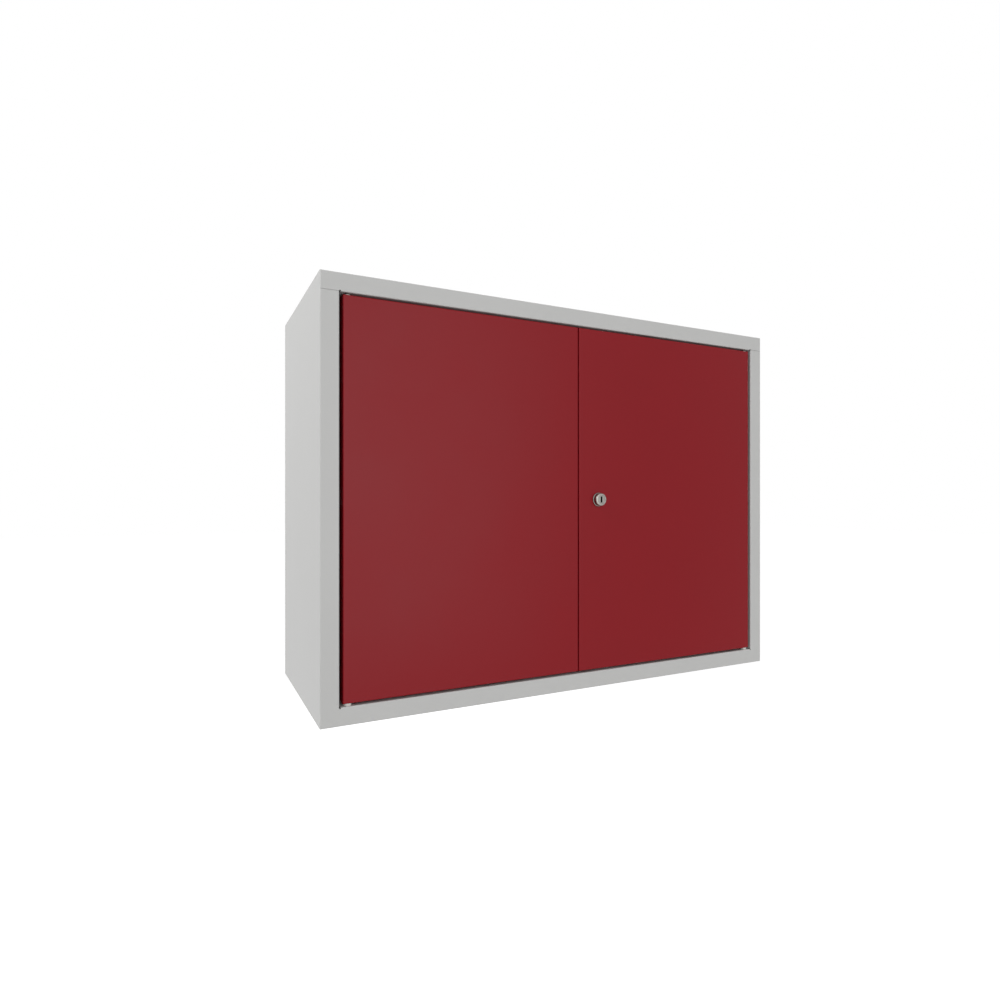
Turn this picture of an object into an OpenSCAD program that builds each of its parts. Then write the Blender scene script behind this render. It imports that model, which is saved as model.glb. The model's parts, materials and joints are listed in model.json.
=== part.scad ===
// Wall cabinet of folded sheet steel, with two inset doors on pivot pins, a cam lock in the right door,
// sliding bolts on the left door and one adjustable shelf.
// Millimetres. +X is right as seen from the front, the front faces -Y and +Z is up.
// The origin is the middle of the back face, which lies against the wall.

/* [Cabinet] */
// Overall width
cabinet_w = 800; // [600:10:1200]
// Overall height
cabinet_h = 600; // [500:10:1000]
// Depth from the wall to the face of the front frame
cabinet_d = 310; // [220:5:450]
// Thickness of the folded sheet
sheet = 1; // [0.8:0.1:1.4]
// Outside radius of the folds in that sheet
fold_r = 1.5; // [1.4:0.1:2.5]
// Depth of the edges folded forward around the back panel
back_fold = 12; // [8:1:20]

/* [Front frame] */
// Width of the frame's face on all four sides
frame_w = 25; // [20:1:40]
// Depth of the return behind the frame's two sides
side_return = 15; // [8:1:20]
// Height of the fold behind the upper and lower returns
upstand = 12; // [8:1:16]
// Width of the open notch in each corner of the frame
corner_notch = 2; // [1:0.5:4]
// Straight stretch of frame face between that notch and the fold
notch_relief = 0.2; // [0.1:0.1:1]
// How far the seams in the frame's face lie above and below the opening
seam_rise = 0.4; // [0.2:0.1:1]
// Width of the seam between the top panel's face and the sides
top_seam = 0.4; // [0.1:0.1:0.8]

/* [Doors] */
// Depth of the door trays
door_t = 20; // [18:0.5:26]
// How far the doors sit behind the frame's face
door_recess = 1; // [0:0.5:3]
// Gap beside the hinged edge
hinge_gap = 5; // [4:0.5:8]
// Gap between the two doors
meeting_gap = 1.5; // [1:0.5:4]
// Gap above the doors
top_gap = 3; // [2:0.5:6]
// Gap below the doors
bottom_gap = 3.5; // [2:0.5:6]
// Width of the lip folded in around the back of each door
door_lip = 12; // [10:1:18]

/* [Door stiffeners] */
// Width of the stiffener's crown
stiffener_w = 40; // [20:1:80]
// Height of the crown above the door's inner face
stiffener_d = 14; // [8:0.5:15]
// Width of each foot
stiffener_foot = 12; // [8:1:20]
// Distance from the stiffener's ends to the door's ends
stiffener_end = 40; // [20:1:100]

/* [Hinges] */
// Diameter of the pivot pins
pin_d = 6; // [4:0.5:6.5]
// Distance from the door's hinged edge to the pin
pin_from_edge = 7; // [6.5:0.5:12]
// Distance from the door's front to the pin
pin_from_face = 6; // [6:0.5:8]
// Length of pin inside the door
pin_reach = 14; // [10:1:30]
// Diameter of the pin's head
pin_head_d = 9; // [7.5:0.5:10]
// Thickness of the pin's head
pin_head_t = 2.5; // [1.5:0.5:4]
// Diameter of the lower bush's flange, which fills the gap and carries the door
bush_flange_d = 11; // [9:0.5:12]
// Diameter of the upper bush's collar, which keeps the bush from sliding into the door
bush_collar_d = 9.5; // [9:0.5:11]
// Thickness of that collar
bush_collar_t = 0.5; // [0.4:0.1:1]
// Wall of the bush
bush_wall = 0.95; // [0.6:0.05:1.2]
// Length of bush inside the door
bush_l = 8; // [6:0.5:14]
// Play around the pin, on the radius
pin_play = 0.05; // [0.02:0.01:0.1]
// Play between a lower bush and the return that it turns against
thrust_play = 0.2; // [0.1:0.05:0.4]
// Length of the plate that backs each hinge
hinge_plate_l = 36; // [24:1:60]
// Thickness of that plate
hinge_plate_t = 3; // [1.5:0.5:5]

/* [Lock] */
// Distance from the right door's meeting edge to the lock
lock_from_edge = 37; // [30:1:60]
// Diameter of the lock's head
head_d = 20; // [19:0.5:28]
// How far the head stands out from the door
head_l = 9; // [4:0.5:14]
// Chamfer around the head's face
head_chamfer = 1.4; // [0.4:0.1:2]
// Width of the flange around the head's foot
head_flange_w = 1; // [0.5:0.1:4]
// Thickness of that flange
head_flange_t = 1.2; // [0.6:0.1:3]
// Diameter of the barrel behind the head
barrel_d = 18; // [17:0.5:18.5]
// Width of the barrel across its two flats
barrel_flat = 15.6; // [15:0.1:16.5]
// Diameter of the plug
plug_d = 12; // [10:0.5:12.5]
// Diameter of the rim on the plug's face
plug_rim_d = 14; // [13.5:0.5:16]
// Thickness of that rim
plug_rim_t = 1.5; // [1:0.1:3]
// How far the plug sits below the head's face
plug_sink = 0.3; // [0:0.1:1]
// Width of the keyway
keyway_w = 2.6; // [1.5:0.1:3]
// Height of the keyway
keyway_h = 9; // [7:0.5:9.5]
// Depth of the keyway
keyway_l = 18; // [10:1:20]
// Width of the cam
cam_w = 14; // [12:1:20]
// Thickness of the cam
cam_t = 2.5; // [1.5:0.5:4]
// How far the locked cam reaches behind the left door's lip
cam_hook = 10; // [6:1:10]
// Gap between the cam and the doors' lips
cam_gap = 1; // [0.5:0.1:2]
// Side of the square that drives the cam
cam_square = 7; // [6:0.5:8]
// Size of the lock nut across its flats
nut_af = 24; // [22:0.5:30]
// Thickness of the lock nut
nut_t = 5; // [3:0.5:7]
// Diameter of the washer under the nut
washer_d = 26; // [24:0.5:32]
// Thickness of that washer
washer_t = 1; // [0.5:0.1:2]
// Diameter of the cam screw
cam_screw_d = 4; // [3:0.5:5]
// Length of the cam screw in the plug
cam_screw_l = 8; // [6:0.5:10]
// Diameter of the cam screw's head
cam_screw_head_d = 11; // [10.5:0.5:13]
// Height of the cam screw's head
cam_screw_head_t = 3; // [2:0.5:4]
// Length of the cross slot in that head
cross_l = 5; // [3:0.5:7]
// Width of the cross slot
cross_w = 1.1; // [0.6:0.1:1.6]

/* [Left door bolts] */
// Diameter of the bolts
bolt_d = 8; // [6:0.5:10]
// Travel of the bolts
bolt_travel = 16; // [12:1:22]
// Distance from the door's end to the drawn-back bolt's tip
bolt_set_back = 4; // [2:0.5:8]
// Gap between the bolt and the fold that it slides up behind
bolt_gap = 1.5; // [0.5:0.1:3]
// Distance from the door's end to the guide
guide_from_end = 20; // [14:1:40]
// Thickness of the bent guide strip
guide_t = 1.5; // [1:0.1:2.5]
// Width of the guide strip
guide_w = 10; // [9.5:0.1:12]
// Material left around the bolt at the guide's ends
guide_rim = 2.5; // [1.5:0.5:5]
// Diameter of the bolt's knob
knob_d = 8; // [7:0.5:10]
// Diameter of the knob's stem
stem_d = 4; // [3:0.5:5]
// Free stem between the bolt and the knob
stem_l = 3; // [1:0.5:6]
// Diameter of the rivets that hold the guides
rivet_d = 3; // [2:0.5:4]

/* [Door stops] */
// Distance from the cabinet's middle to the middle of each stop
stop_x = 70; // [50:1:150]
// Width of a stop
stop_w = 40; // [20:1:60]
// Thickness of the stop's bent strip
stop_t = 1.5; // [1:0.1:2]
// Depth of the leg welded to the frame's return
stop_leg = 7; // [5:0.5:12]
// How far a stop reaches past the frame's return
stop_drop = 22; // [18:1:30]
// Diameter of a rubber buffer
buffer_d = 10; // [6:0.5:10]
// Thickness of a rubber buffer
buffer_t = 1.8; // [1:0.1:4]
// Gap between a closed door and its buffer
buffer_gap = 0.2; // [0.1:0.05:0.5]

/* [Shelf and rails] */
// Height of the shelf above the cabinet's bottom
shelf_height = 300; // [200:5:400]
// Height of the shelf's folded front and back edges
shelf_fold = 25; // [15:1:40]
// Width of the returns below those edges
shelf_lip = 10; // [6:1:14]
// Gap between the shelf and the back panel
shelf_back_gap = 6; // [2:1:20]
// Gap between the shelf and the knobs on the left door
shelf_front_gap = 5; // [2:1:20]
// Gap between the shelf's ends and the clips
shelf_end_gap = 1.5; // [0.5:0.5:5]
// Width of a rail's crown
rail_w = 24; // [20:1:40]
// Height of a rail's crown above the side panel
rail_d = 12; // [8:0.5:16]
// Width of a rail's feet
rail_foot = 10; // [6:1:16]
// Distance from the frame's face to the middle of the front rails
front_rail = 80; // [74:1:100]
// Distance from the back face to the middle of the rear rails
rear_rail = 60; // [40:1:90]
// Distance from a rail's ends to the cabinet's top and bottom
rail_end = 40; // [20:1:80]
// Distance between slots
slot_pitch = 25; // [15:1:50]
// Width of a slot
slot_w = 12; // [10.5:0.5:14]
// Height of a slot
slot_h = 4; // [3.5:0.5:6]

/* [Shelf clips] */
// Width of a clip
clip_w = 10; // [6:0.5:10]
// Thickness of a clip
clip_t = 2; // [1:0.1:3]
// Length of the ledge under the shelf
clip_ledge = 14; // [8:1:20]
// Length of the tab that leans on the rail
clip_tab = 10; // [6:1:16]
// Height of the hook behind the rail
clip_hook = 7; // [5:0.5:10]

/* [Wall fixing] */
// Diameter of the fixing holes
fixing_d = 9; // [6:0.5:12]
// Distance from the cabinet's sides to the holes
fixing_side = 50; // [45:1:120]
// Distance from the cabinet's top and bottom to the holes
fixing_end = 50; // [45:1:120]
// Side of the plates behind the holes
fixing_plate = 60; // [30:1:60]
// Thickness of those plates
fixing_plate_t = 2; // [1:0.5:4]

/* [Fits] */
// Play between pieces that are fitted together and then stay put, on each side
seat_play = 0.1; // [0.05:0.05:0.2]
// Play between the lock's barrel and its cam
cam_play = 0.3; // [0.1:0.1:0.5]

/* [Hidden] */
$fn = 64;
// Cuts run this far past the face that they open, and joined shapes this far into each other
past = 1;

GREY = "#c6c7c4";
RED = "#8a2c30";
ZINC = "#b4b6b8";
NICKEL = "#c9c6c0";
NYLON = "#e6e4dc";
BLACK = "#26262a";

half_w = cabinet_w / 2;
half_h = cabinet_h / 2;
front_y = -cabinet_d;
inner_r = fold_r - sheet;

// The frame's opening, the top of its corner notches, and the seam where the side panels' faces end
opening_x = half_w - frame_w;
opening_z = half_h - frame_w;
notch_z = opening_z + fold_r + notch_relief;
seam_z = opening_z + seam_rise;
return_x = opening_x - corner_notch;

// The doors, with the right one on the positive side
door_y = front_y + door_recess;
door_back = door_y + door_t;
free_x = meeting_gap / 2;
hinged_x = opening_x - hinge_gap;
door_top = opening_z - top_gap;
door_bottom = -opening_z + bottom_gap;

// The upper and lower returns reach back past the doors and their stops
stop_y = door_back + buffer_gap + buffer_t;
return_y = stop_y + stop_leg + fold_r;
hinge_return = return_y - front_y;

pin_x = hinged_x - pin_from_edge;
pin_y = door_y + pin_from_face;
bush_d = pin_d + 2 * (pin_play + bush_wall);

// The lock, measured along its axis from the door's front
lock_x = free_x + lock_from_edge;
cam_front = door_t + cam_gap;
cam_back = cam_front + cam_t;
barrel_l = cam_front - cam_play;
cam_l = lock_from_edge + meeting_gap + cam_hook;

// The left door's bolts
bolt_x = -free_x - door_lip / 2;
bolt_y = return_y + bolt_gap + bolt_d / 2;
guide_back = bolt_y + bolt_d / 2 + guide_rim;
guide_fold = 2 * guide_t;
stem_room = guide_fold + knob_d / 2;
guide_l = bolt_travel + 2 * stem_room;
bolt_tail = bolt_travel + guide_fold;
bolt_l = guide_from_end - bolt_set_back + guide_l + bolt_tail;
knob_y = bolt_y + bolt_d / 2 + stem_l + knob_d / 2;
rivet_head_d = 2 * rivet_d;
rivet_head_t = rivet_d / 2;

// The shelf, its rails and its clips
rail_l = cabinet_h - 2 * rail_end;
rail_face = half_w - sheet - rail_d;
slot_count = floor((rail_l - slot_h) / slot_pitch);
first_slot = (rail_l - slot_h - (slot_count - 1) * slot_pitch) / 2;
shelf_slot = round((shelf_height - rail_end - first_slot - clip_t) / slot_pitch);
clip_z = -half_h + rail_end + first_slot + shelf_slot * slot_pitch;
shelf_top = clip_z + clip_t + sheet;
shelf_x = rail_face - clip_t - shelf_end_gap;
shelf_front = knob_y + knob_d / 2 + shelf_front_gap;
shelf_back = -sheet - shelf_back_gap;

fixing_x = half_w - fixing_side;
fixing_z = half_h - fixing_end;

// Shared shapes

module flip_x() {
    mirror([1, 0, 0]) children();
}

module flip_z() {
    mirror([0, 0, 1]) children();
}

// Quarter of a disc, in the corner between +X and +Y
module quarter(r) {
    intersection() {
        circle(r);
        square(r);
    }
}

// Section of a folded sheet: each leg is a flat length and the turn at its end, 90 to the left, -90 to the
// right or 0. The path starts along +X, and the sheet lies on its left.
module folded(legs, t = sheet, r = fold_r, i = 0) {
    flat = legs[i][0];
    turn = legs[i][1];
    square([flat, t]);
    if (turn != 0) {
        middle = turn > 0 ? r : t - r;
        step = turn > 0 ? r : r - t;
        translate([flat, middle])
            mirror([0, turn > 0 ? 1 : 0])
                difference() {
                    quarter(r);
                    circle(r - t);
                }
        translate([flat + step, turn > 0 ? step : -step])
            rotate(turn)
                folded(legs, t, r, i + 1);
    }
}

// Section of a hat-shaped strip with its feet on the Y axis and its crown towards +X
module hat(foot, crown_w, crown_d) {
    foot_flat = foot - inner_r;
    leg_flat = crown_d - 2 * fold_r;
    crown_flat = crown_w - 2 * fold_r;
    translate([sheet, -foot - crown_w / 2])
        rotate(90)
            folded([[foot_flat, -90], [leg_flat, 90], [crown_flat, 90], [leg_flat, -90], [foot_flat, 0]]);
}

// Rectangle from the origin with round corners at its low Y side, and at its high Y side if asked
module soft_rectangle(w, d, r, both) {
    high = both ? d - r : d;
    translate([r, 0])
        square([w - 2 * r, d]);
    for (side = [0, 1])
        translate([side * w, 0])
            mirror([side, 0]) {
                translate([0, r])
                    square([r, high - r]);
                translate([r, r])
                    rotate(180)
                        quarter(r);
                if (both)
                    translate([r, high])
                        rotate(90)
                            quarter(r);
            }
}

// Block from the origin whose front edges, and back edges if asked, are round on all four sides
module soft_block(w, d, h, r, both) {
    intersection() {
        linear_extrude(h)
            soft_rectangle(w, d, r, both);
        translate([0, 0, h])
            rotate([0, 90, 0])
                linear_extrude(w)
                    soft_rectangle(h, d, r, both);
    }
}

// Runs a section in Y and Z along X, from -half to half
module along_x(half) {
    rotate([90, 0, 90])
        translate([0, 0, -half])
            linear_extrude(2 * half)
                children();
}

// Keeps what lies inside the cabinet's plan, so that ends follow the side panels' folds
module within_plan() {
    intersection() {
        children();
        translate([-half_w, front_y, -half_h - past])
            linear_extrude(cabinet_h + 2 * past)
                soft_rectangle(cabinet_w, cabinet_d + past, fold_r, false);
    }
}

// Body

// Stretch of frame face outside the right notch, which reaches from the notch's top to the seam
module corner_tab() {
    translate([opening_x, front_y, seam_z])
        cube([frame_w + past, sheet, notch_z - seam_z + past]);
}

// Top panel with its frame face, return and upstand; the bottom panel is its mirror image
module end_panel() {
    color(GREY)
        difference() {
            union() {
                within_plan()
                    along_x(half_w + past)
                        translate([0, half_h])
                            rotate(180)
                                folded([[cabinet_d - fold_r, 90], [half_h - fold_r - notch_z, 0]]);
                for (side = [0, 1])
                    mirror([side, 0, 0])
                        within_plan()
                            corner_tab();
                along_x(return_x)
                    translate([front_y, notch_z + past])
                        rotate(-90)
                            folded([
                                [notch_relief + past, 90],
                                [hinge_return - 2 * fold_r, 90],
                                [upstand - fold_r, 0]
                            ]);
            }
            for (side = [-1, 1])
                translate([side * pin_x, pin_y, opening_z - past])
                    cylinder(h = sheet + 2 * past, d = pin_d + 2 * seat_play);
        }
}

module top_panel() {
    end_panel();
}

module bottom_panel() {
    flip_z() end_panel();
}

// Side panel: its frame face ends at the seams, and its wall runs on to the top and bottom panels
module left_side_panel() {
    color(GREY) {
        translate([-half_w, 0, -seam_z])
            linear_extrude(2 * seam_z - top_seam)
                rotate(-90)
                    folded([
                        [cabinet_d - fold_r, 90],
                        [frame_w - 2 * fold_r, 90],
                        [side_return - fold_r, 0]
                    ]);
        within_plan()
            translate([-half_w - past, front_y + sheet, -half_h + sheet])
                cube([sheet + past, cabinet_d - sheet, cabinet_h - 2 * sheet]);
    }
}

module right_side_panel() {
    flip_x() left_side_panel();
}

// Places something at each of the four wall fixings
module at_fixings() {
    for (x = [-fixing_x, fixing_x])
        for (z = [-fixing_z, fixing_z])
            translate([x, 0, z])
                children();
}

module fixing_holes() {
    at_fixings()
        translate([0, past, 0])
            rotate([90, 0, 0])
                cylinder(h = sheet + fixing_plate_t + 2 * past, d = fixing_d);
}

module back_panel() {
    w = cabinet_w - 2 * sheet;
    h = cabinet_h - 2 * sheet;
    color(GREY)
        difference() {
            translate([-w / 2, 0, -h / 2])
                mirror([0, 1, 0])
                    difference() {
                        soft_block(w, back_fold, h, fold_r, false);
                        translate([sheet, sheet, sheet])
                            soft_block(w - 2 * sheet, back_fold, h - 2 * sheet, inner_r, false);
                    }
            fixing_holes();
        }
}

module wall_fixing_plates() {
    color(ZINC)
        difference() {
            at_fixings()
                translate([-fixing_plate / 2, -sheet - fixing_plate_t, -fixing_plate / 2])
                    cube([fixing_plate, fixing_plate_t, fixing_plate]);
            fixing_holes();
        }
}

// Slotted rail on the left side panel, with its middle at the given depth
module rail(y) {
    color(GREY)
        translate([-half_w + sheet, y, -half_h + rail_end])
            difference() {
                linear_extrude(rail_l)
                    hat(rail_foot, rail_w, rail_d);
                for (i = [0 : slot_count - 1])
                    translate([rail_d - sheet - past, -slot_w / 2, first_slot + i * slot_pitch])
                        cube([sheet + 2 * past, slot_w, slot_h]);
            }
}

module left_front_rail() {
    rail(front_y + front_rail);
}

module left_rear_rail() {
    rail(-rear_rail);
}

module right_front_rail() {
    flip_x() rail(front_y + front_rail);
}

module right_rear_rail() {
    flip_x() rail(-rear_rail);
}

module shelf() {
    fold_flat = shelf_fold - 2 * fold_r;
    color(GREY)
        along_x(shelf_x)
            translate([shelf_back - shelf_lip, shelf_top - shelf_fold])
                folded([
                    [shelf_lip - fold_r, 90],
                    [fold_flat, 90],
                    [shelf_back - shelf_front - 2 * fold_r, 90],
                    [fold_flat, 90],
                    [shelf_lip - fold_r, 0]
                ]);
}

// Clip hooked into a slot of a left rail: ledge, tab in front, and tongue and hook behind
module shelf_clip() {
    behind = sheet + seat_play;
    translate([-rail_face, -clip_w / 2, clip_z]) {
        translate([-behind - clip_t, 0, 0])
            cube([behind + clip_t + clip_ledge, clip_w, clip_t]);
        translate([0, 0, -clip_tab])
            cube([clip_t, clip_w, clip_tab + clip_t]);
        translate([-behind - clip_t, 0, 0])
            cube([clip_t, clip_w, clip_hook]);
    }
}

module shelf_clips() {
    color(ZINC)
        for (y = [front_y + front_rail, -rear_rail])
            for (side = [0, 1])
                mirror([side, 0, 0])
                    translate([0, y, 0])
                        shelf_clip();
}

// Bent strip welded below the upper return, behind each door's free corner
module door_stops() {
    bend_r = 2 * stop_t;
    color(ZINC)
        for (side = [-1, 1])
            translate([side * stop_x, 0, 0])
                along_x(stop_w / 2)
                    translate([return_y - fold_r, opening_z])
                        rotate(180)
                            folded([[stop_leg - bend_r, 90], [stop_drop - bend_r, 0]], stop_t, bend_r);
}

module upper_door_stops() {
    door_stops();
}

module lower_door_stops() {
    flip_z() door_stops();
}

module door_buffers() {
    color(BLACK)
        for (side = [-1, 1])
            for (z = [door_bottom + door_lip / 2, door_top - door_lip / 2])
                translate([side * stop_x, stop_y, z])
                    rotate([90, 0, 0])
                        cylinder(h = buffer_t, d = buffer_d);
}

// Pin on the right side that drops through the upper return into a door that ends at the given height
module hinge_pin(door_end) {
    tip = pin_d / 6;
    tip_z = door_end - pin_reach;
    seat_z = opening_z + sheet;
    color(ZINC)
        translate([pin_x, pin_y, 0])
            rotate_extrude()
                polygon([
                    [0, tip_z],
                    [pin_d / 2 - tip, tip_z],
                    [pin_d / 2, tip_z + tip],
                    [pin_d / 2, seat_z],
                    [pin_head_d / 2, seat_z],
                    [pin_head_d / 2, seat_z + pin_head_t],
                    [0, seat_z + pin_head_t]
                ]);
}

module right_upper_hinge_pin() {
    hinge_pin(door_top);
}

module right_lower_hinge_pin() {
    flip_z() hinge_pin(-door_bottom);
}

module left_upper_hinge_pin() {
    flip_x() right_upper_hinge_pin();
}

module left_lower_hinge_pin() {
    flip_x() right_lower_hinge_pin();
}

// Doors

// Door tray on the right side, with a lip all round its back and a hole for each bush
module door_tray() {
    w = hinged_x - free_x;
    h = door_top - door_bottom;
    difference() {
        translate([free_x, door_y, door_bottom])
            difference() {
                soft_block(w, door_t, h, fold_r, true);
                translate([sheet, sheet, sheet])
                    soft_block(w - 2 * sheet, door_t - 2 * sheet, h - 2 * sheet, inner_r, true);
                translate([door_lip, door_t - sheet - past, door_lip])
                    cube([w - 2 * door_lip, sheet + 2 * past, h - 2 * door_lip]);
            }
        for (z = [door_bottom, door_top])
            translate([pin_x, pin_y, z - sheet - past])
                cylinder(h = 2 * (sheet + past), d = bush_d + 2 * seat_play);
    }
}

module door_stiffener() {
    color(RED)
        translate([(free_x + hinged_x) / 2, door_y + sheet, door_bottom + stiffener_end])
            rotate(90)
                linear_extrude(door_top - door_bottom - 2 * stiffener_end)
                    hat(stiffener_foot, stiffener_w, stiffener_d);
}

// Plate under the door's end, on the right side
module hinge_plate(door_end) {
    difference() {
        translate([hinged_x - fold_r - hinge_plate_l, door_y + fold_r, door_end - sheet - hinge_plate_t])
            cube([hinge_plate_l, door_t - 2 * fold_r, hinge_plate_t]);
        translate([pin_x, pin_y, door_end - sheet - hinge_plate_t - past])
            cylinder(h = hinge_plate_t + 2 * past, d = bush_d + 2 * seat_play);
    }
}

module hinge_plates() {
    color(ZINC) {
        hinge_plate(door_top);
        flip_z() hinge_plate(-door_bottom);
    }
}

// Bush on the right side, in a door that ends at the given height, with a flange on that end
module bush(door_end, flange_d, flange_t) {
    bore_r = pin_d / 2 + pin_play;
    flange_z = door_end + flange_t;
    color(NYLON)
        translate([pin_x, pin_y, 0])
            rotate_extrude()
                polygon([
                    [bore_r, door_end - bush_l],
                    [bush_d / 2, door_end - bush_l],
                    [bush_d / 2, door_end],
                    [flange_d / 2, door_end],
                    [flange_d / 2, flange_z],
                    [bore_r, flange_z]
                ]);
}

module right_upper_bush() {
    bush(door_top, bush_collar_d, bush_collar_t);
}

module right_lower_bush() {
    flip_z() bush(-door_bottom, bush_flange_d, bottom_gap - thrust_play);
}

module left_upper_bush() {
    flip_x() right_upper_bush();
}

module left_lower_bush() {
    flip_x() right_lower_bush();
}

module right_door_stiffener() {
    door_stiffener();
}

module left_door_stiffener() {
    flip_x() door_stiffener();
}

module right_hinge_plates() {
    hinge_plates();
}

module left_hinge_plates() {
    flip_x() hinge_plates();
}

module right_door() {
    color(RED)
        difference() {
            door_tray();
            at_lock()
                translate([0, 0, -past])
                    barrel_section(sheet + 2 * past, seat_play);
        }
}

module left_door() {
    color(RED)
        difference() {
            flip_x() door_tray();
            at_rivets()
                translate([0, past, 0])
                    rotate([90, 0, 0])
                        cylinder(h = sheet + 2 * past, d = rivet_d + 2 * seat_play);
        }
}

// Lock

// Lock axis: local Z runs into the cabinet from the door's front, and local Y points down
module at_lock() {
    translate([lock_x, door_y, 0])
        rotate([-90, 0, 0])
            children();
}

// Round bar with two flats, with some play all round
module barrel_section(h, play) {
    flat = barrel_flat + 2 * play;
    d = barrel_d + 2 * play;
    intersection() {
        cylinder(h = h, d = d);
        translate([-flat / 2, -d, 0])
            cube([flat, 2 * d, h]);
    }
}

module lock_housing() {
    rim_z = plug_sink + plug_rim_t + seat_play;
    flange_r = head_d / 2 + head_flange_w;
    color(NICKEL)
        at_lock()
            difference() {
                union() {
                    rotate_extrude()
                        polygon([
                            [0, 0],
                            [flange_r, 0],
                            [flange_r, -head_flange_t],
                            [head_d / 2, -head_flange_t],
                            [head_d / 2, head_chamfer - head_l],
                            [head_d / 2 - head_chamfer, -head_l],
                            [0, -head_l]
                        ]);
                    barrel_section(barrel_l, 0);
                }
                translate([0, 0, -head_l - past]) {
                    cylinder(h = head_l + barrel_l + 2 * past, d = plug_d + 2 * pin_play);
                    cylinder(h = past + rim_z, d = plug_rim_d + 2 * pin_play);
                }
            }
}

module lock_washer() {
    color(ZINC)
        at_lock()
            translate([0, 0, sheet])
                difference() {
                    cylinder(h = washer_t, d = washer_d);
                    translate([0, 0, -past])
                        cylinder(h = washer_t + 2 * past, d = barrel_d + 2 * seat_play);
                }
}

module lock_nut() {
    color(NICKEL)
        at_lock()
            translate([0, 0, sheet + washer_t])
                difference() {
                    cylinder(h = nut_t, d = nut_af / cos(30), $fn = 6);
                    translate([0, 0, -past])
                        cylinder(h = nut_t + 2 * past, d = barrel_d + 2 * seat_play);
                }
}

module lock_plug() {
    face_z = plug_sink - head_l;
    color(NICKEL)
        at_lock()
            difference() {
                union() {
                    translate([0, 0, face_z]) {
                        cylinder(h = plug_rim_t, d = plug_rim_d);
                        cylinder(h = cam_front - face_z, d = plug_d);
                    }
                    translate([-cam_square / 2, -cam_square / 2, cam_front])
                        cube([cam_square, cam_square, cam_t - seat_play]);
                }
                translate([-keyway_w / 2, -keyway_h / 2, face_z - past])
                    cube([keyway_w, keyway_h, keyway_l + past]);
                translate([0, 0, cam_back - cam_t - cam_screw_l])
                    cylinder(h = cam_screw_l + cam_t + past, d = cam_screw_d + 2 * seat_play);
            }
}

// Cam in its unlocked place, pointing straight down
module lock_cam() {
    hole = cam_square + 2 * seat_play;
    color(ZINC)
        at_lock()
            translate([0, 0, cam_front])
                difference() {
                    linear_extrude(cam_t) {
                        circle(d = cam_w);
                        translate([-cam_w / 2, 0])
                            square([cam_w, cam_l - cam_w / 2]);
                        translate([0, cam_l - cam_w / 2])
                            circle(d = cam_w);
                    }
                    translate([-hole / 2, -hole / 2, -past])
                        cube([hole, hole, cam_t + 2 * past]);
                }
}

module lock_cam_screw() {
    head_r = cam_screw_head_d / 2;
    half_t = cam_screw_head_t / 2;
    color(ZINC)
        at_lock()
            translate([0, 0, cam_back])
                difference() {
                    union() {
                        rotate_extrude()
                            polygon([
                                [0, 0],
                                [head_r, 0],
                                [head_r, half_t],
                                [head_r - half_t, cam_screw_head_t],
                                [0, cam_screw_head_t]
                            ]);
                        translate([0, 0, -cam_t - cam_screw_l])
                            cylinder(h = cam_t + cam_screw_l, d = cam_screw_d);
                    }
                    for (turn = [0, 90])
                        rotate(turn)
                            translate([-cross_l / 2, -cross_w / 2, half_t])
                                cube([cross_l, cross_w, half_t + past]);
                }
}

// Left door bolts

// Bent strip riveted to the lip of the left door, with a hole for the bolt at each end
module bolt_guide(door_end) {
    end_flat = guide_back - door_back - guide_fold;
    base_flat = guide_l - 2 * guide_fold;
    color(ZINC)
        difference() {
            translate([bolt_x, 0, 0])
                along_x(guide_w / 2)
                    translate([guide_back, door_end - guide_from_end])
                        rotate(180)
                            folded([[end_flat, 90], [base_flat, 90], [end_flat, 0]], guide_t, guide_fold);
            translate([bolt_x, bolt_y, door_end - guide_from_end - guide_l - past])
                cylinder(h = guide_l + 2 * past, d = bolt_d + 2 * pin_play);
            guide_rivet_places(door_end)
                translate([0, guide_t + past, 0])
                    rotate([90, 0, 0])
                        cylinder(h = guide_t + 2 * past, d = rivet_d + 2 * seat_play);
        }
}

// The two rivets of one guide, on the back of the door's lip
module guide_rivet_places(door_end) {
    middle = door_end - guide_from_end - guide_l / 2;
    for (side = [-1, 1])
        translate([bolt_x, door_back, middle + side * guide_l / 4])
            children();
}

module at_rivets() {
    guide_rivet_places(door_top) children();
    flip_z() guide_rivet_places(-door_bottom) children();
}

module upper_bolt_guide() {
    bolt_guide(door_top);
}

module lower_bolt_guide() {
    flip_z() bolt_guide(-door_bottom);
}

module bolt_guide_rivets() {
    color(ZINC)
        at_rivets()
            rotate([-90, 0, 0])
                rotate_extrude()
                    polygon([
                        [0, -sheet - rivet_head_t],
                        [rivet_d / 2 + rivet_head_t / 2, -sheet - rivet_head_t],
                        [rivet_d / 2 + rivet_head_t / 2, -sheet],
                        [rivet_d / 2, -sheet],
                        [rivet_d / 2, guide_t],
                        [rivet_head_d / 2, guide_t],
                        [rivet_head_d / 4, guide_t + rivet_head_t],
                        [0, guide_t + rivet_head_t]
                    ]);
}

// Height of the knob on a drawn-back bolt
function knob_z(door_end) = door_end - guide_from_end - guide_l + stem_room;

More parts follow.
